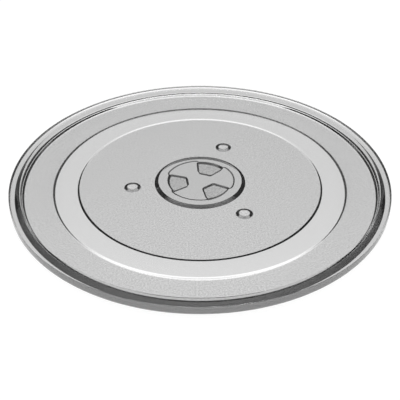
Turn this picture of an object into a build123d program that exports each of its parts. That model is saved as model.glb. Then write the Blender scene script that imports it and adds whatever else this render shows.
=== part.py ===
"""Microwave turntable plate: one round dish of pressed clear glass.

The plate stands on z = 0 with its outer field and inner disc, its axis is Z, and the dish opens upwards.
All sizes are in millimetres and degrees.
"""
from math import cos, radians, sin, tan
import os

from build123d import *

# Rim: a flange round the dish that falls a little outwards, a groove under it and a skirt outside the groove
plate_diameter = 315.0
flange_top_height = 11.6
flange_fall = 0.8
flange_thickness = 5.9
flange_width = 8.9
skirt_height = 8.9
skirt_width = 5.0
groove_outer_run = 4.7
groove_inner_run = 1.3
groove_radius = 0.8
groove_edge_radius = 0.6
field_edge_radius = 2.5
rim_wall_draft = 18.0
upper_edge_radius = 0.6
skirt_edge_radius = 3.0
flange_crest_radius = 0.5
dish_corner_radius = 1.5

# Dish floor, and the rings under it: outer field, roller track in a shallow channel, inner disc
dish_depth = 4.2
field_width = 24.15
track_recess = 1.8
track_width = 18.65
track_ramp = 1.5
track_edge_radius = 2.2

# Drive socket in the middle of the underside
socket_radius = 35.1
socket_wall_run = 2.9
socket_depth = 4.4
socket_edge_radius = 0.5

# Drive lugs, which stand in the socket between the arms of a coupler
lug_count = 3
first_lug_angle = 68.5
lug_wall_gap = 9.4
lug_half_angle = 25.0
lug_inner_flat = 11.3
lug_tip_height = 1.1
lug_draft = 24.0
lug_corner_radius = 0.8
lug_tip_radius = 0.3

# Seat that the coupler bears on: a low pad with one lobe for each arm, between two lugs
seat_thickness = 0.7
seat_wall_gap = 6.9
seat_lug_overlap = 2.0
seat_corner_radius = 4.0
seat_draft = 45.0

# Round dimples on a circle outside the socket, in line with the lugs
dimple_gap = 12.3
dimple_mouth_radius = 6.6
dimple_depth = 3.0
dimple_draft = 34.0

# Depth to which lugs and seat reach into the glass above the socket
root_overlap = 0.5

plate_radius = plate_diameter / 2
flange_edge_height = flange_top_height - flange_fall
floor_height = flange_top_height - dish_depth
groove_ceiling = flange_top_height - flange_thickness
skirt_foot_height = flange_top_height - skirt_height
flange_inner_radius = plate_radius - flange_width
dish_floor_radius = flange_inner_radius - dish_depth * tan(radians(rim_wall_draft))
skirt_inner_radius = plate_radius - skirt_width
groove_ceiling_radius = skirt_inner_radius - groove_outer_run
field_outer_radius = groove_ceiling_radius - groove_inner_run
field_inner_radius = field_outer_radius - field_width
track_outer_radius = field_inner_radius - track_ramp
track_inner_radius = track_outer_radius - track_width
disc_radius = track_inner_radius - track_ramp
socket_mouth_radius = socket_radius + socket_wall_run
seat_height = socket_depth - seat_thickness
seat_radius = socket_radius - seat_wall_gap
lug_radius = socket_radius - lug_wall_gap
lug_spacing = 360 / lug_count
lug_inner_corner = lug_inner_flat / cos(radians(lug_half_angle))
seat_half_angle = lug_spacing / 2 - lug_half_angle + seat_lug_overlap
dimple_circle_radius = socket_mouth_radius + dimple_gap + dimple_mouth_radius

# The dish's corner is as round as the wall above it leaves room for
rim_wall_length = dish_depth / cos(radians(rim_wall_draft))
rim_wall_turn = tan(radians(90 - rim_wall_draft) / 2)
dish_fillet = min(dish_corner_radius, rim_wall_length / rim_wall_turn - flange_crest_radius)

# Corners of the half section, from the socket outwards and back over the rim: radius, height, rounding
section_corners = [
    (socket_radius, socket_depth, socket_edge_radius),
    (socket_mouth_radius, 0, socket_edge_radius),
    (disc_radius, 0, track_edge_radius),
    (track_inner_radius, track_recess, track_edge_radius),
    (track_outer_radius, track_recess, track_edge_radius),
    (field_inner_radius, 0, track_edge_radius),
    (field_outer_radius, 0, field_edge_radius),
    (groove_ceiling_radius, groove_ceiling, groove_radius),
    (skirt_inner_radius, skirt_foot_height, groove_edge_radius),
    (plate_radius, skirt_foot_height, skirt_edge_radius),
    (plate_radius, flange_edge_height, upper_edge_radius),
    (flange_inner_radius, flange_top_height, flange_crest_radius),
    (dish_floor_radius, floor_height, dish_fillet),
]
corner_points = [(radius, height) for radius, height, rounding in section_corners]
corner_roundings = [rounding for radius, height, rounding in section_corners]


def sector_corner(radius, angle):
    """A point at this distance from the axis, at this angle from the X axis."""
    return (radius * cos(radians(angle)), radius * sin(radians(angle)))


# One lug, about the X axis: a sector with a flat inner side, wider at its root than at its tip
with BuildPart() as lug:
    with BuildSketch(Plane.XY.offset(lug_tip_height)) as lug_tip:
        with BuildLine():
            ThreePointArc(
                sector_corner(lug_radius, -lug_half_angle),
                (lug_radius, 0),
                sector_corner(lug_radius, lug_half_angle),
            )
            Polyline(
                sector_corner(lug_radius, lug_half_angle),
                sector_corner(lug_inner_corner, lug_half_angle),
                sector_corner(lug_inner_corner, -lug_half_angle),
                sector_corner(lug_radius, -lug_half_angle),
            )
        make_face()
        fillet(lug_tip.vertices(), lug_corner_radius)
    extrude(amount=socket_depth + root_overlap - lug_tip_height, taper=-lug_draft)
    fillet(lug.faces().sort_by(Axis.Z)[0].edges(), lug_tip_radius)

# One lobe of the seat, about the X axis: a sector from the plate's axis, with rounded outer corners
with BuildPart() as seat_lobe:
    with BuildSketch(Plane.XY.offset(seat_height)) as lobe_outline:
        with BuildLine():
            ThreePointArc(
                sector_corner(seat_radius, -seat_half_angle),
                (seat_radius, 0),
                sector_corner(seat_radius, seat_half_angle),
            )
            Polyline(
                sector_corner(seat_radius, seat_half_angle),
                (0, 0),
                sector_corner(seat_radius, -seat_half_angle),
            )
        make_face()
        fillet(lobe_outline.vertices().sort_by(Axis.X)[1:], seat_corner_radius)
    extrude(amount=seat_thickness + root_overlap, taper=-seat_draft)

# The plate: its section turned round the axis, with seat and lugs added in the socket and the dimples sunk
with BuildPart() as glass_plate:
    with BuildSketch(Plane.XZ):
        with BuildLine():
            FilletPolyline(
                (0, socket_depth),
                *corner_points,
                (0, floor_height),
                radius=corner_roundings,
            )
            Line((0, floor_height), (0, socket_depth))
        make_face()
    revolve(axis=Axis.Z)
    with PolarLocations(0, lug_count, start_angle=first_lug_angle + lug_spacing / 2):
        add(seat_lobe.part)
    with BuildSketch(Plane.XY.offset(seat_height)):
        Circle(lug_inner_corner)
    extrude(amount=seat_thickness + root_overlap)
    with PolarLocations(0, lug_count, start_angle=first_lug_angle):
        add(lug.part)
    with BuildSketch(Plane.XY):
        with PolarLocations(dimple_circle_radius, lug_count, start_angle=first_lug_angle):
            Circle(dimple_mouth_radius)
    extrude(amount=dimple_depth, taper=dimple_draft, mode=Mode.SUBTRACT)
glass_plate.part.label = "glass_plate"

os.makedirs("parts", exist_ok=True)
export_step(glass_plate.part, "parts/glass_plate.step")
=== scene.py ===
"""Microwave turntable plate of pressed clear glass, on a pale floor in soft studio light.

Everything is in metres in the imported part's own frame: the plate stands on z = 0, its axis is Z and the
dish opens upwards.
"""
from math import cos, pi, radians, sin, tan

import bpy
import numpy as np
from mathutils import Euler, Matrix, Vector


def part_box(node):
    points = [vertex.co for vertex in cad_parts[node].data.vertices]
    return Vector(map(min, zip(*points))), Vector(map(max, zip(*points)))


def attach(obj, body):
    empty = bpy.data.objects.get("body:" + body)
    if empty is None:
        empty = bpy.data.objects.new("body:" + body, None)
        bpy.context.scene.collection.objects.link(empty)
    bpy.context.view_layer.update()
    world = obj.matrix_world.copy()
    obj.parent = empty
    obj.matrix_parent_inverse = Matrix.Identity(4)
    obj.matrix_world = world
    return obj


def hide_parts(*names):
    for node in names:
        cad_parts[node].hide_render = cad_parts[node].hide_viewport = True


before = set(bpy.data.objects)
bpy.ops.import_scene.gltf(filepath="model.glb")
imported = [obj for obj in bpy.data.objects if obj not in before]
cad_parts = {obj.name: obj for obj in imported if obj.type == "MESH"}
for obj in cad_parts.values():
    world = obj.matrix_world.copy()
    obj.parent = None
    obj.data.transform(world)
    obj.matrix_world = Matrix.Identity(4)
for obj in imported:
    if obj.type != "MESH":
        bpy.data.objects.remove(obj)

bl_info = {
    "name": "Turntable plate",
    "version": (1, 0, 0),
    "blender": (4, 5, 0),
    "location": "View3D > Sidebar > Turntable",
    "description": "Presses a glass microwave turntable plate and sets a studio stage for it",
    "category": "Add Mesh",
}

PLATE_NODE = "glass_plate"
GLASS_SLOT = "clear_glass"
BODY = "root"
MM = 0.001

# Mesh: points on each rounding, rings over lugs and dimples, and lines from a lug's middle to the next gap
ARC_STEPS = 7
LUG_RINGS = [3, 26, 10, 30]
DIMPLE_RINGS = [40]
LINE_STEPS = [16, 11, 18, 16]

# Mesh: its innermost ring, and how far the closer rings and lines reach past the edges of the relief
INNER_RING = 2 * MM
RELIEF_MARGIN = 1.5 * MM
FLANK_INSIDE = radians(2)
FLANK_OUTSIDE = radians(8)

# Glass: how far from its own radius or height each part of the surface is told from its neighbours
SOCKET_MARGIN = 1 * MM
TRACK_MARGIN = 10 * MM
GROOVE_MARGIN = 0.5 * MM
FLOOR_MARGIN = 1 * MM
LUG_MARGIN = 1.5 * MM
WALL_MARGIN = 0.3 * MM
STIPPLE_BLUR = 0.4 * MM

# Glass: character of the stipple's grain, and colour of the unpolished skin
GRAIN_DETAIL = 1.5
GRAIN_ROUGHNESS = 0.6
SKIN_COLOUR = (0.9, 0.9, 0.9, 1)

# Studio: light that the glass shows over the elevation in degrees: below it, all round, and on the backdrop
WHITE = (1, 1, 1, 1)
BELOW_LEVELS = [(-90, 0.8), (-74, 0.8), (-67, 1.4), (-57, 1.4), (-48, 0.93), (-28, 0.82), (-24, 0.84)]
ROUND_LEVELS = [*BELOW_LEVELS, (-15, 1.0), (-9, 0.2), (0, 0.05), (90, 0.03)]
BACKDROP_LEVELS = [*BELOW_LEVELS, (-16, 1.1), (20, 1.1), (35, 0.3), (50, 0.1), (90, 0.1)]
BACKDROP_HALF_ANGLE = radians(20)
BACKDROP_BLUR = radians(10)
LIGHT_BOUNCES = 24

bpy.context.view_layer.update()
plate_low, plate_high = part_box(PLATE_NODE)


def length(name, description, millimetres):
    """A length property whose default is given in millimetres."""
    return bpy.props.FloatProperty(
        name=name,
        description=description,
        default=millimetres * MM,
        unit="LENGTH",
        subtype="DISTANCE",
        precision=5,
    )


def angle(name, description, degrees):
    """An angle property whose default is given in degrees."""
    return bpy.props.FloatProperty(
        name=name, description=description, default=radians(degrees), unit="ROTATION", subtype="ANGLE"
    )


def share(name, description, default):
    """A property between nothing and the whole."""
    return bpy.props.FloatProperty(
        name=name, description=description, default=default, min=0, max=1, subtype="FACTOR"
    )


def amount(name, description, default):
    """A plain number property."""
    return bpy.props.FloatProperty(name=name, description=description, default=default)


def colour(name, description, default):
    """A colour property, in linear light."""
    return bpy.props.FloatVectorProperty(
        name=name, description=description, default=default, min=0, max=1, size=3, subtype="COLOR"
    )


class RimSizes(bpy.types.PropertyGroup):
    """The flange round the dish, which falls a little outwards, with a groove and a skirt under it."""

    diameter: length("Diameter", "Across the outer wall", (plate_high.x - plate_low.x) / MM)
    top_height: length("Top height", "Corner of flange and dish above the ground", 11.6)
    thickness: length("Flange thickness", "Flange top to the groove's ceiling", 5.9)
    width: length("Flange width", "Outer wall to the dish's edge", 8.9)
    fall: length("Flange fall", "How far the flange's top falls from the dish to the outer wall", 0.8)
    skirt_height: length("Skirt height", "Flange top to the skirt's lower edge", 8.9)
    skirt_width: length("Skirt width", "Outer wall to the groove", 5.0)
    groove_outer_run: length("Groove outer run", "Run of the groove's outer wall", 4.7)
    groove_inner_run: length("Groove inner run", "Run of the groove's inner wall", 1.3)
    groove_radius: length("Groove radius", "Rounding of the groove's ceiling", 0.8)
    groove_edge: length("Groove edge radius", "Rounding of the groove's outer lower edge", 0.6)
    field_edge: length("Field edge radius", "Rounding where the groove meets the field", 2.5)
    wall_draft: angle("Wall draft", "Lean of the dish's wall", 18)
    edge_radius: length("Edge radius", "Rounding of the upper outer edge", 0.6)
    foot_radius: length("Foot radius", "Rounding of the lower outer edge", 3.0)
    crest_radius: length("Crest radius", "Rounding where the flange meets the dish's wall", 0.5)
    corner_radius: length("Corner radius", "Rounding where the dish's wall meets its floor", 1.5)


class RingSizes(bpy.types.PropertyGroup):
    """The dish's floor and the rings under it."""

    dish_depth: length("Dish depth", "Flange top to the dish's floor", 4.2)
    field_width: length("Field width", "Stippled ring between groove and track", 24.15)
    track_recess: length("Track recess", "Smooth ring for the rollers above field and disc", 1.8)
    track_width: length("Track width", "Smooth ring for the rollers", 18.65)
    track_ramp: length("Track ramp", "Run of the slopes beside the track", 1.5)
    edge_radius: length("Track edge radius", "Rounding of the slopes beside the track", 2.2)


class HubSizes(bpy.types.PropertyGroup):
    """The drive socket with its seat, lugs and dimples."""

    socket_radius: length("Socket radius", "Round ceiling of the drive socket", 35.1)
    socket_run: length("Socket wall run", "Run of the socket's sloping wall", 2.9)
    socket_depth: length("Socket depth", "Ceiling above the disc", 4.4)
    socket_edge: length("Socket edge radius", "Rounding of the socket's edges", 0.5)
    lug_count: bpy.props.IntProperty(name="Lugs", description="Lugs, lobes and dimples", default=3, min=1)
    first_lug: angle("First lug", "Turn of the first lug from the X axis", 68.5)
    lug_gap: length("Lug gap", "Socket wall to the lugs' outer side", 9.4)
    lug_half_angle: angle("Lug half angle", "Half the sector that a lug spans", 25)
    lug_flat: length("Lug flat", "Axis to the lugs' flat inner side", 11.3)
    lug_tip: length("Lug tip height", "Lug tips above the ground", 1.1)
    lug_draft: angle("Lug draft", "Lean of the lugs' sides", 24)
    lug_corner: length("Lug corner radius", "Rounding of the lugs' corners", 0.8)
    lug_edge: length("Lug edge radius", "Rounding round the lugs' tips", 0.5)
    seat_thickness: length("Seat thickness", "Low pad that the coupler bears on", 0.7)
    seat_gap: length("Seat gap", "Socket wall to the seat's lobes", 6.9)
    seat_overlap: angle("Seat overlap", "How far a lobe reaches under its lugs", 2)
    seat_corner: length("Seat corner radius", "Rounding of the lobes' corners", 4.0)
    seat_draft: angle("Seat draft", "Lean of the seat's edge", 45)
    dimple_gap: length("Dimple gap", "Socket mouth to the dimples", 12.3)
    dimple_radius: length("Dimple radius", "Mouth of a dimple", 6.6)
    dimple_depth: length("Dimple depth", "Depth of a dimple", 3.0)
    dimple_draft: angle("Dimple draft", "Lean of a dimple's wall", 34)
    dimple_edge: length("Dimple edge radius", "Rounding of a dimple's edges", 0.5)


class GlassFinish(bpy.types.PropertyGroup):
    """How the glass looks."""

    tint: colour("Tint", "What one surface of the glass lets through", (1.0, 1.0, 1.0))
    depth_tint: colour("Depth tint", "What one length of glass lets through", (0.9, 0.9, 0.9))
    depth_density: amount("Depth density", "How many such lengths a metre of glass holds", 300)
    index: amount("Refraction index", "How strongly the glass bends light", 1.5)
    polish: share("Polish", "Roughness of the smooth glass", 0.0)
    stipple_roughness: share("Stipple roughness", "Roughness of the stippled glass", 0.04)
    stipple_shade: share("Stipple shade", "Light that the stipple keeps back", 0.19)
    socket_shade: share("Socket shade", "Light that the socket keeps back", 0.47)
    lug_shade: share("Lug shade", "Light that the lugs keep back besides", 0.09)
    stipple_grain: amount("Stipple grain", "How much that varies from grain to grain", 0.9)
    # Painted shade: these five settings darken the glass's colour on the hub's slopes, the dimples' walls and
    # the groove's outer wall. The darkening stands in for the dark lines that light bent by the glass shows
    # there, and under the rim for the floor in the plate's shadow.
    slope_start: angle("Slope start", "Slope of the underside at which it begins to darken", 8)
    slope_full: angle("Slope full", "Slope of the underside at which it is darkest", 15)
    painted_slope_shade: share("Slope shade", "Light that the slopes of the hub keep back", 0.97)
    painted_dimple_shade: share("Dimple shade", "Light that the dimples' walls keep back", 0.85)
    painted_groove_shade: share("Groove shade", "Light that the groove's outer wall keeps back", 0.985)
    satin: share("Satin", "Light that the unpolished outer wall scatters", 0.26)
    stipple_size: length("Stipple size", "Size of one grain of the stipple", 1.3)
    stipple_depth: length("Stipple depth", "Depth of the stipple", 0.04)


class StudioSettings(bpy.types.PropertyGroup):
    """Floor, light and camera."""

    floor_size: length("Floor size", "Side of the square floor", 6000)
    floor_gap: length("Floor gap", "Air between floor and plate", 0.1)
    shadow: share("Shadow", "How strongly the floor shows the plate's shadow", 0.12)
    softbox_size: length("Softbox size", "Side of the square lamp over the plate", 700)
    softbox_height: length("Softbox height", "Lamp above the floor", 1200)
    softbox_level: amount("Softbox level", "Brightness of the lamp's face, where white is 1", 6.0)
    fill_level: amount("Fill level", "Brightness of the room round the plate, where white is 1", 0.45)
    camera_distance: length("Camera distance", "Camera to the rim's centre", 659.2)
    camera_elevation: angle("Camera elevation", "Camera above the rim's plane", 34.55)
    camera_pitch: angle("Camera pitch", "How far the camera looks down", 36.42)
    lens: bpy.props.FloatProperty(name="Lens", description="Focal length", default=70.94, unit="CAMERA")


class PlateSettings(bpy.types.PropertyGroup):
    """All settings of the plate and its stage."""

    rim: bpy.props.PointerProperty(type=RimSizes)
    rings: bpy.props.PointerProperty(type=RingSizes)
    hub: bpy.props.PointerProperty(type=HubSizes)
    glass: bpy.props.PointerProperty(type=GlassFinish)
    studio: bpy.props.PointerProperty(type=StudioSettings)


def unit(vectors):
    """Each vector divided by its length."""
    return vectors / np.linalg.norm(vectors, axis=-1, keepdims=True)


def rounded_section(corners, steps):
    """A line through the corners, rounded at all but its first and last.

    Each row of corners is a radius, a height and a rounding. An arc touches both sides of its corner at the
    rounding over the tangent of half the corner's angle, and its centre lies on the bisector at the
    rounding over the sine. The spoke from the centre turns from one touching point to the other in equal
    steps.
    """
    points, rounding = corners[:, :2], corners[1:-1, 2:]
    corner = points[1:-1]
    back, on = unit(points[:-2] - corner), unit(points[2:] - corner)
    half = np.arccos(np.sum(back * on, axis=1, keepdims=True)) / 2
    centre = corner + unit(back + on) * rounding / np.sin(half)
    first = corner + back * rounding / np.tan(half) - centre
    last = corner + on * rounding / np.tan(half) - centre
    turn = (pi - 2 * half)[:, None]
    step = np.linspace(0, 1, steps)[None, :, None]
    spoke = (np.sin((1 - step) * turn) * first[:, None] + np.sin(step * turn) * last[:, None]) / np.sin(turn)
    arcs = (centre[:, None] + spoke).reshape(-1, 2)
    return np.concatenate([points[:1], arcs, points[-1:]])


def graded(stops, counts):
    """Values from the first stop to the last, with that many equal steps between each stop and the next."""
    ends = np.cumsum([0, *counts])
    return np.interp(np.arange(ends[-1] + 1), ends, stops)


def soft_max(a, b, width):
    """The larger of two heights, with a parabola of that width where they cross."""
    near = np.clip(1 - np.abs(a - b) / width, 0, None)
    return np.maximum(a, b) + near**2 * width / 4


def soft_min(a, b, width):
    """The smaller of two heights, with a parabola of that width where they cross."""
    return -soft_max(-a, -b, width)


def meet(a, b, rounding):
    """Distance outside two edges at once, with the corner between them rounded."""
    out_a, out_b = a + rounding, b + rounding
    outside = np.hypot(np.clip(out_a, 0, None), np.clip(out_b, 0, None))
    return outside + np.clip(np.maximum(out_a, out_b), None, 0) - rounding


class Section:
    """Heights and radii of the plate, worked out from its settings."""

    def __init__(self, settings):
        rim, rings, hub = settings.rim, settings.rings, settings.hub
        self.radius = rim.diameter / 2
        self.floor = rim.top_height - rings.dish_depth
        self.groove_top = rim.top_height - rim.thickness
        self.skirt_foot = rim.top_height - rim.skirt_height
        self.flange_inner = self.radius - rim.width
        self.dish_floor = self.flange_inner - rings.dish_depth * tan(rim.wall_draft)
        self.skirt_inner = self.radius - rim.skirt_width
        self.groove = self.skirt_inner - rim.groove_outer_run
        self.field_outer = self.groove - rim.groove_inner_run
        self.field_inner = self.field_outer - rings.field_width
        self.track_outer = self.field_inner - rings.track_ramp
        self.track_inner = self.track_outer - rings.track_width
        self.disc = self.track_inner - rings.track_ramp
        self.socket_mouth = hub.socket_radius + hub.socket_run
        self.ceiling = hub.socket_depth
        self.seat = self.ceiling - hub.seat_thickness
        self.seat_radius = hub.socket_radius - hub.seat_gap
        self.lug_radius = hub.socket_radius - hub.lug_gap
        self.spacing = 2 * pi / hub.lug_count
        self.lug_corner = hub.lug_flat / cos(hub.lug_half_angle)
        self.dimple_circle = self.socket_mouth + hub.dimple_gap + hub.dimple_radius

    def corners(self, settings):
        """The half section's corners, from the socket outwards and back over the rim.

        Each row is a radius, a height and a rounding.
        """
        rim, rings, hub = settings.rim, settings.rings, settings.hub
        rows = [
            (0, self.ceiling, 0),
            (hub.socket_radius, self.ceiling, hub.socket_edge),
            (self.socket_mouth, 0, hub.socket_edge),
            (self.disc, 0, rings.edge_radius),
            (self.track_inner, rings.track_recess, rings.edge_radius),
            (self.track_outer, rings.track_recess, rings.edge_radius),
            (self.field_inner, 0, rings.edge_radius),
            (self.field_outer, 0, rim.field_edge),
            (self.groove, self.groove_top, rim.groove_radius),
            (self.skirt_inner, self.skirt_foot, rim.groove_edge),
            (self.radius, self.skirt_foot, rim.foot_radius),
            (self.radius, rim.top_height - rim.fall, rim.edge_radius),
            (self.flange_inner, rim.top_height, rim.crest_radius),
            (self.dish_floor, self.floor, rim.corner_radius),
            (0, self.floor, 0),
        ]
        return np.array(rows)


def lug_height(reach, side, section, hub):
    """Underside of a lug that points along the first coordinate.

    A lug is the sector between two radial sides, an outer arc and a flat inner side. Its tip is level inside
    that outline; outside it the height grows with the distance from the outline, by the cotangent of the
    draft.
    """
    radius = np.hypot(reach, side)
    flank = np.abs(side) * cos(hub.lug_half_angle) - reach * sin(hub.lug_half_angle)
    outline = meet(radius - section.lug_radius, flank, hub.lug_corner)
    outline = meet(outline, hub.lug_flat - reach, hub.lug_corner)
    side_height = hub.lug_tip + outline / tan(hub.lug_draft)
    return soft_max(np.full_like(reach, hub.lug_tip), side_height, hub.lug_edge)


def seat_height(reach, side, section, hub):
    """Underside of the seat, one of whose lobes points along the first coordinate.

    A lobe is a sector from the axis with rounded outer corners. A disc as wide as the lugs' inner corners
    fills the middle. Outside the outline the height grows by the cotangent of the draft.
    """
    radius = np.hypot(reach, side)
    half_angle = section.spacing / 2 - hub.lug_half_angle + hub.seat_overlap
    flank = np.abs(side) * cos(half_angle) - reach * sin(half_angle)
    lobe = meet(radius - section.seat_radius, flank, hub.seat_corner)
    outline = np.minimum(lobe, radius - section.lug_corner)
    edge_height = section.seat + outline / tan(hub.seat_draft)
    return soft_max(np.full_like(reach, section.seat), edge_height, hub.lug_edge)


def dimple_height(reach, side, section, hub):
    """Ceiling of the dimple on the line of a lug: a cone from its mouth in the disc up to its flat end."""
    out = np.hypot(reach - section.dimple_circle, side)
    wall = (hub.dimple_radius - out) / tan(hub.dimple_draft)
    return soft_min(wall, np.full_like(out, hub.dimple_depth), hub.dimple_edge)


def underside_relief(base, radius, turn, settings, section):
    """Heights of the underside: the rings' own section, lowered to seat and lugs and raised into the dimples.

    Each point is turned back to the nearest lug, or for the seat to the nearest gap between lugs, so one
    formula serves all of them.
    """
    hub = settings.hub
    from_lug = (turn - hub.first_lug + section.spacing / 2) % section.spacing - section.spacing / 2
    from_gap = (turn - hub.first_lug) % section.spacing - section.spacing / 2
    along, across = radius * np.cos(from_lug), radius * np.sin(from_lug)
    seat = seat_height(radius * np.cos(from_gap), radius * np.sin(from_gap), section, hub)
    height = soft_min(base, seat, hub.lug_edge)
    height = soft_min(height, lug_height(along, across, section, hub), hub.lug_edge)
    return soft_max(height, dimple_height(along, across, section, hub), hub.dimple_edge)


def ring_radii(section, hub):
    """Extra rings of the underside, close together where lugs, seat and dimples have their edges."""
    reach = hub.dimple_radius + RELIEF_MARGIN
    lug_stops = [
        INNER_RING,
        hub.lug_flat - 2 * RELIEF_MARGIN,
        section.lug_corner + RELIEF_MARGIN,
        section.lug_radius - RELIEF_MARGIN,
        section.seat_radius + RELIEF_MARGIN,
    ]
    dimple_stops = [section.dimple_circle - reach, section.dimple_circle + reach]
    return np.concatenate([graded(lug_stops, LUG_RINGS), graded(dimple_stops, DIMPLE_RINGS)])


def line_turns(section, hub):
    """Turns of the radial lines, close together along the lugs' sides and across the dimples."""
    dimple = (hub.dimple_radius + RELIEF_MARGIN) / section.dimple_circle
    flank = [hub.lug_half_angle - FLANK_INSIDE, hub.lug_half_angle + FLANK_OUTSIDE]
    steps = graded([0, dimple, *flank, section.spacing / 2], LINE_STEPS)
    both = np.concatenate([-steps[:0:-1], steps[:-1]])
    turns = hub.first_lug + both + section.spacing * np.arange(hub.lug_count)[:, None]
    return turns.ravel()


def plate_surface(settings):
    """The plate as one closed surface over ring number and line number.

    The half section is turned about the axis. Under the plate its heights also follow the relief of hub and
    dimples. The first and the last ring shrink to the two poles on the axis.
    """
    section = Section(settings)
    profile = rounded_section(section.corners(settings), ARC_STEPS)
    rim_start = int(np.argmax(profile[:, 0] >= section.radius - MM / 1000))
    under, over = profile[: rim_start + 1], profile[rim_start + 1 : -1]
    radii = np.unique(np.concatenate([under[1:, 0], ring_radii(section, settings.hub)]))
    base = np.interp(radii, under[:, 0], under[:, 1])
    turns = line_turns(section, settings.hub)
    radius, turn = np.meshgrid(np.concatenate([radii, over[:, 0]]), turns, indexing="ij")
    height = np.repeat(np.concatenate([base, over[:, 1]])[:, None], len(turns), axis=1)
    relief = slice(0, len(radii))
    height[relief] = underside_relief(height[relief], radius[relief], turn[relief], settings, section)
    grid = np.stack([radius * np.cos(turn), radius * np.sin(turn), height], axis=-1)
    poles = np.array([[0, 0, height[0].mean()], [0, 0, section.floor]])
    return grid, poles


def closed_mesh(name, grid, poles):
    """A mesh of quads between neighbouring rings, with a fan of triangles round each pole."""
    rings, lines = grid.shape[:2]
    number = np.arange(rings * lines).reshape(rings, lines)
    beside = np.roll(number, -1, axis=1)
    quads = np.stack([number[:-1], beside[:-1], beside[1:], number[1:]], axis=-1).reshape(-1, 4)
    first_pole, last_pole = rings * lines, rings * lines + 1
    bottom = np.stack([np.full(lines, first_pole), beside[0], number[0]], axis=-1)
    top = np.stack([np.full(lines, last_pole), number[-1], beside[-1]], axis=-1)
    fans = np.concatenate([bottom, top])
    sides = np.concatenate([np.full(len(quads), 4), np.full(len(fans), 3)])
    corners = np.concatenate([quads.ravel(), fans.ravel()]).astype(np.int32)
    points = np.concatenate([grid.reshape(-1, 3), poles]).astype(np.float32)
    mesh = bpy.data.meshes.new(name)
    mesh.vertices.add(len(points))
    mesh.vertices.foreach_set("co", points.ravel())
    mesh.loops.add(len(corners))
    mesh.loops.foreach_set("vertex_index", corners)
    mesh.polygons.add(len(sides))
    mesh.polygons.foreach_set("loop_start", (np.cumsum(sides) - sides).astype(np.int32))
    mesh.update(calc_edges=True)
    mesh.validate()
    mesh.polygons.foreach_set("use_smooth", np.ones(len(mesh.polygons), dtype=bool))
    return mesh


def mark_painted_shade(mesh, section, glass):
    """Note on each point how much painted shade darkens the underside there.

    This shade stands in for the dark lines that light bent by the glass shows along these slopes, and for the
    shadowed floor seen under the rim. In the socket and in the dimples it grows with the slope of the
    surface, from its start to its full amount. On the groove's outer wall it is the same all over, and all
    else stays clear.
    """
    count = len(mesh.vertices)
    points, normals = np.empty((2, count * 3), dtype=np.float32)
    mesh.vertices.foreach_get("co", points)
    mesh.vertex_normals.foreach_get("vector", normals)
    points, normals = points.reshape(-1, 3), normals.reshape(-1, 3)
    radius = np.hypot(points[:, 0], points[:, 1])
    slope = np.arcsin(np.clip(np.hypot(normals[:, 0], normals[:, 1]), 0, 1))
    steep = np.clip((slope - glass.slope_start) / (glass.slope_full - glass.slope_start), 0, 1)
    socket = radius < section.socket_mouth + SOCKET_MARGIN
    dimples = (radius < section.disc - TRACK_MARGIN) & ~socket
    groove = (radius > section.groove + GROOVE_MARGIN) & (radius < section.skirt_inner)
    # Painted shade on the slopes of socket and dimples, and evenly on the groove's outer wall
    shade = steep * (socket * glass.painted_slope_shade + dimples * glass.painted_dimple_shade) + groove * glass.painted_groove_shade
    shade[normals[:, 2] > 0] = 0
    mesh.attributes.new("shade", "FLOAT", "POINT").data.foreach_set("value", shade.astype(np.float32))


class Value:
    """A number on a node's socket, which plain arithmetic turns into Math nodes."""

    def __init__(self, shader, socket):
        self.shader, self.socket = shader, socket

    def math(self, operation, *others):
        """The result of one Math node on this value and the others."""
        operands = dict(enumerate([self, *others]))
        return self.shader.node("ShaderNodeMath", {"operation": operation}, operands).value()

    def __add__(self, other):
        return self.math("ADD", other)

    def __sub__(self, other):
        return self.math("SUBTRACT", other)

    def __rsub__(self, other):
        return (self * -1).math("ADD", other)

    def __mul__(self, other):
        return self.math("MULTIPLY", other)

    def __truediv__(self, other):
        return self.math("DIVIDE", other)

    def __lt__(self, other):
        return self.math("LESS_THAN", other)

    def __gt__(self, other):
        return self.math("GREATER_THAN", other)

    __radd__ = __add__
    __rmul__ = __mul__


class Placed:
    """A node in a tree, whose outputs are taken by name or number."""

    def __init__(self, shader, node):
        self.shader, self.node = shader, node

    def out(self, key=0):
        """One output socket."""
        return self.node.outputs[key]

    def value(self, key=0):
        """One output as a number for arithmetic."""
        return Value(self.shader, self.out(key))


class Shader:
    """A material's or the world's node tree, emptied and built up node by node."""

    def __init__(self, owner):
        owner.use_nodes = True
        self.tree = owner.node_tree
        self.tree.nodes.clear()

    def node(self, kind, settings=None, inputs=None):
        """A node of that type: its settings are set first, then its sockets get their values or links."""
        node = self.tree.nodes.new(kind)
        for name, setting in (settings or {}).items():
            setattr(node, name, setting)
        for key, given in (inputs or {}).items():
            source = given.socket if isinstance(given, Value) else given
            if isinstance(source, bpy.types.NodeSocket):
                self.tree.links.new(source, node.inputs[key])
            else:
                node.inputs[key].default_value = source
        return Placed(self, node)


def object_place(shader):
    """Distance from the axis and height of the shaded point, with the point itself."""
    point = shader.node("ShaderNodeTexCoord").out("Object")
    split = shader.node("ShaderNodeSeparateXYZ", inputs={0: point})
    x, y, z = split.value("X"), split.value("Y"), split.value("Z")
    return point, (x * x + y * y).math("SQRT"), z


def below(value, limit, blur):
    """1 where the value is below the limit, fading to 0 over the blur."""
    return ((limit - value) / blur + 0.5).math("MAXIMUM", 0).math("MINIMUM", 1)


def between(value, low, high, blur):
    """1 where the value lies between low and high, fading to 0 over the blur at both ends."""
    return below(value, high, blur) * (1 - below(value, low, blur))


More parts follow.
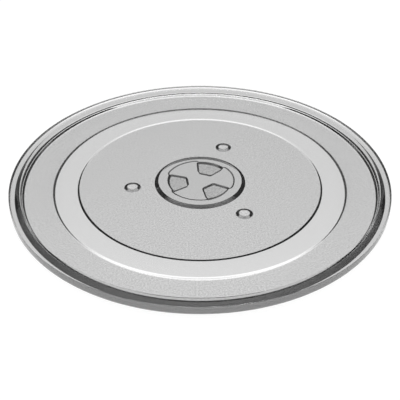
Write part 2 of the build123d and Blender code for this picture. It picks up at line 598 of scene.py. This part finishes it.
def glass_material(settings):
    """Clear pressed glass: polished, but finely stippled under the field, the disc and the lugs. Its colour
    carries painted shade on the hub's slopes, the dimples' walls and the groove's outer wall.
    """
    glass, section = settings.glass, Section(settings)
    material = bpy.data.materials.new(GLASS_SLOT)
    shader = Shader(material)
    point, radius, height = object_place(shader)
    field = between(radius, section.field_inner, section.field_outer, STIPPLE_BLUR)
    disc = between(radius, section.socket_mouth, section.disc, STIPPLE_BLUR)
    under = height < section.floor - FLOOR_MARGIN
    socket = (radius < section.socket_mouth) * under
    lugs = (height < section.seat - LUG_MARGIN) * socket
    rings = (field + disc) * under
    stipple = rings + lugs
    grain = shader.node(
        "ShaderNodeTexNoise",
        {"noise_dimensions": "3D"},
        {
            "Vector": point,
            "Scale": 1 / glass.stipple_size,
            "Detail": GRAIN_DETAIL,
            "Roughness": GRAIN_ROUGHNESS,
        },
    ).value("Fac")
    bump = shader.node(
        "ShaderNodeBump",
        inputs={"Strength": 1.0, "Distance": glass.stipple_depth, "Height": grain * stipple},
    )
    roughness = glass.polish + (glass.stipple_roughness - glass.polish) * stipple
    # The points' painted shade darkens the glass's colour. It stands in for the dark lines that bent light
    # shows along the underside's slopes and in the groove, and for the floor in the plate's shadow.
    shade = shader.node("ShaderNodeAttribute", {"attribute_name": "shade"}).value("Fac")
    veil = 1 - (rings * glass.stipple_shade + socket * glass.socket_shade + lugs * glass.lug_shade)
    veil = veil - stipple * (grain - 0.5) * glass.stipple_grain
    clear = veil * (1 - shade)
    tint = shader.node("ShaderNodeVectorMath", {"operation": "SCALE"}, {0: glass.tint, "Scale": clear})
    surface = shader.node(
        "ShaderNodeBsdfPrincipled",
        inputs={
            "Base Color": tint.out(),
            "Roughness": roughness,
            "IOR": glass.index,
            "Transmission Weight": 1.0,
            "Normal": bump.out(),
        },
    )
    outside = 1 - shader.node("ShaderNodeNewGeometry").value("Backfacing")
    wall = (radius > section.radius - WALL_MARGIN) * outside
    matt = shader.node("ShaderNodeBsdfDiffuse", inputs={"Color": SKIN_COLOUR})
    skin = shader.node("ShaderNodeMixShader", inputs={0: wall * glass.satin, 1: surface.out(), 2: matt.out()})
    depth = shader.node(
        "ShaderNodeVolumeAbsorption", inputs={"Color": (*glass.depth_tint, 1), "Density": glass.depth_density}
    )
    shader.node("ShaderNodeOutputMaterial", inputs={"Surface": skin.out(), "Volume": depth.out()})
    return material


def floor_material(studio):
    """A pale floor: white in the picture with a faint shadow, and clear to what is seen through the glass.

    Its glow makes up for what the matt share of it lacks in the fill light alone.
    """
    glow = (1 - studio.shadow * studio.fill_level) / (1 - studio.shadow)
    material = bpy.data.materials.new("pale_floor")
    shader = Shader(material)
    path = shader.node("ShaderNodeLightPath")
    white = shader.node("ShaderNodeEmission", inputs={"Color": WHITE, "Strength": glow})
    matt = shader.node("ShaderNodeBsdfDiffuse", inputs={"Color": WHITE})
    pale = shader.node("ShaderNodeMixShader", inputs={0: studio.shadow, 1: white.out(), 2: matt.out()})
    clear = shader.node("ShaderNodeBsdfTransparent")
    through = path.value("Is Transmission Ray")
    seen = shader.node("ShaderNodeMixShader", inputs={0: through, 1: pale.out(), 2: clear.out()})
    shader.node("ShaderNodeOutputMaterial", inputs={"Surface": seen.out()})
    return material


def level_ramp(shader, elevation, levels):
    """Light level over the elevation, from a list of degrees and levels."""
    ramp = shader.node("ShaderNodeValToRGB", inputs={"Fac": elevation / pi + 0.5})
    stops = ramp.node.color_ramp.elements
    while len(stops) < len(levels):
        stops.new(0.5)
    for stop, (degrees, level) in zip(stops, levels):
        stop.position = degrees / 180 + 0.5
        stop.color = (level, level, level, 1)
    return ramp.out()


def studio_world(studio):
    """White to the camera, soft fill light on the plate and, in the glass, a dark room with a backdrop."""
    world = bpy.data.worlds.new("studio")
    bpy.context.scene.world = world
    shader = Shader(world)
    direction = shader.node("ShaderNodeTexCoord").out("Generated")
    split = shader.node("ShaderNodeSeparateXYZ", inputs={0: direction})
    x, y = split.value("X"), split.value("Y")
    elevation = split.value("Z").math("ARCSINE")
    turn = x.math("ABSOLUTE").math("ARCTAN2", y)
    room = level_ramp(shader, elevation, ROUND_LEVELS)
    inside = below(turn, BACKDROP_HALF_ANGLE, BACKDROP_BLUR)
    backdrop = level_ramp(shader, elevation, BACKDROP_LEVELS)
    colours = {"data_type": "RGBA"}
    shown = shader.node("ShaderNodeMix", colours, {"Factor": inside, "A": room, "B": backdrop}).out("Result")
    path = shader.node("ShaderNodeLightPath")
    glass = path.value("Is Transmission Ray").math("MAXIMUM", path.value("Is Glossy Ray"))
    light = shader.node("ShaderNodeMix", colours, {"Factor": glass, "A": WHITE, "B": shown}).out("Result")
    strength = 1 - path.value("Is Diffuse Ray") * (1 - studio.fill_level)
    background = shader.node("ShaderNodeBackground", inputs={"Color": light, "Strength": strength})
    shader.node("ShaderNodeOutputWorld", inputs={"Surface": background.out()})


class TURNTABLE_OT_press_plate(bpy.types.Operator):
    """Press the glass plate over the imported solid."""

    bl_idname = "turntable.press_plate"
    bl_label = "Press glass plate"

    def execute(self, context):
        settings = context.scene.turntable
        grid, poles = plate_surface(settings)
        mesh = closed_mesh("pressed_glass_plate", grid, poles)
        mark_painted_shade(mesh, Section(settings), settings.glass)
        plate = bpy.data.objects.new("pressed_glass_plate", mesh)
        context.scene.collection.objects.link(plate)
        plate.data.materials.append(glass_material(settings))
        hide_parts(PLATE_NODE)
        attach(plate, BODY)
        return {"FINISHED"}


class TURNTABLE_OT_set_stage(bpy.types.Operator):
    """Lay the floor, light the studio and set up the camera."""

    bl_idname = "turntable.set_stage"
    bl_label = "Set stage"

    def execute(self, context):
        studio = context.scene.turntable.studio
        half = studio.floor_size / 2
        mesh = bpy.data.meshes.new("floor")
        square = [(-half, -half), (half, -half), (half, half), (-half, half)]
        mesh.from_pydata([(x, y, -studio.floor_gap) for x, y in square], [], [(0, 1, 2, 3)])
        floor = bpy.data.objects.new("floor", mesh)
        mesh.materials.append(floor_material(studio))
        context.scene.collection.objects.link(floor)
        studio_world(studio)
        softbox = bpy.data.objects.new("softbox", bpy.data.lights.new("softbox", "AREA"))
        context.scene.collection.objects.link(softbox)
        softbox.data.size = studio.softbox_size
        softbox.data.energy = studio.softbox_level * pi * studio.softbox_size**2
        softbox.location = (0, 0, studio.softbox_height)
        softbox.visible_transmission = False
        camera = bpy.data.objects.new("camera", bpy.data.cameras.new("camera"))
        context.scene.collection.objects.link(camera)
        back = studio.camera_distance * cos(studio.camera_elevation)
        up = studio.camera_distance * sin(studio.camera_elevation)
        camera.location = (0, -back, context.scene.turntable.rim.top_height + up)
        camera.rotation_euler = Euler((pi / 2 - studio.camera_pitch, 0, 0))
        camera.data.lens = studio.lens
        context.scene.camera = camera
        cycles = context.scene.cycles
        cycles.max_bounces = LIGHT_BOUNCES
        cycles.glossy_bounces = LIGHT_BOUNCES
        cycles.transmission_bounces = LIGHT_BOUNCES
        context.scene.view_settings.view_transform = "Standard"
        return {"FINISHED"}


class TURNTABLE_PT_panel(bpy.types.Panel):
    """The plate's steps in the order in which they run."""

    bl_idname = "TURNTABLE_PT_panel"
    bl_label = "Turntable plate"
    bl_space_type = "VIEW_3D"
    bl_region_type = "UI"
    bl_category = "Turntable"

    def draw(self, context):
        for operator in (TURNTABLE_OT_press_plate, TURNTABLE_OT_set_stage):
            self.layout.operator(operator.bl_idname)


CLASSES = (
    RimSizes,
    RingSizes,
    HubSizes,
    GlassFinish,
    StudioSettings,
    PlateSettings,
    TURNTABLE_OT_press_plate,
    TURNTABLE_OT_set_stage,
    TURNTABLE_PT_panel,
)


def register():
    """Add the classes, and the settings to every scene."""
    for cls in CLASSES:
        bpy.utils.register_class(cls)
    bpy.types.Scene.turntable = bpy.props.PointerProperty(type=PlateSettings)


def unregister():
    """Take the settings and the classes away again."""
    del bpy.types.Scene.turntable
    for cls in reversed(CLASSES):
        bpy.utils.unregister_class(cls)


def main():
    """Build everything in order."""
    register()
    bpy.ops.turntable.press_plate()
    bpy.ops.turntable.set_stage()


if __name__ == "__main__":
    main()
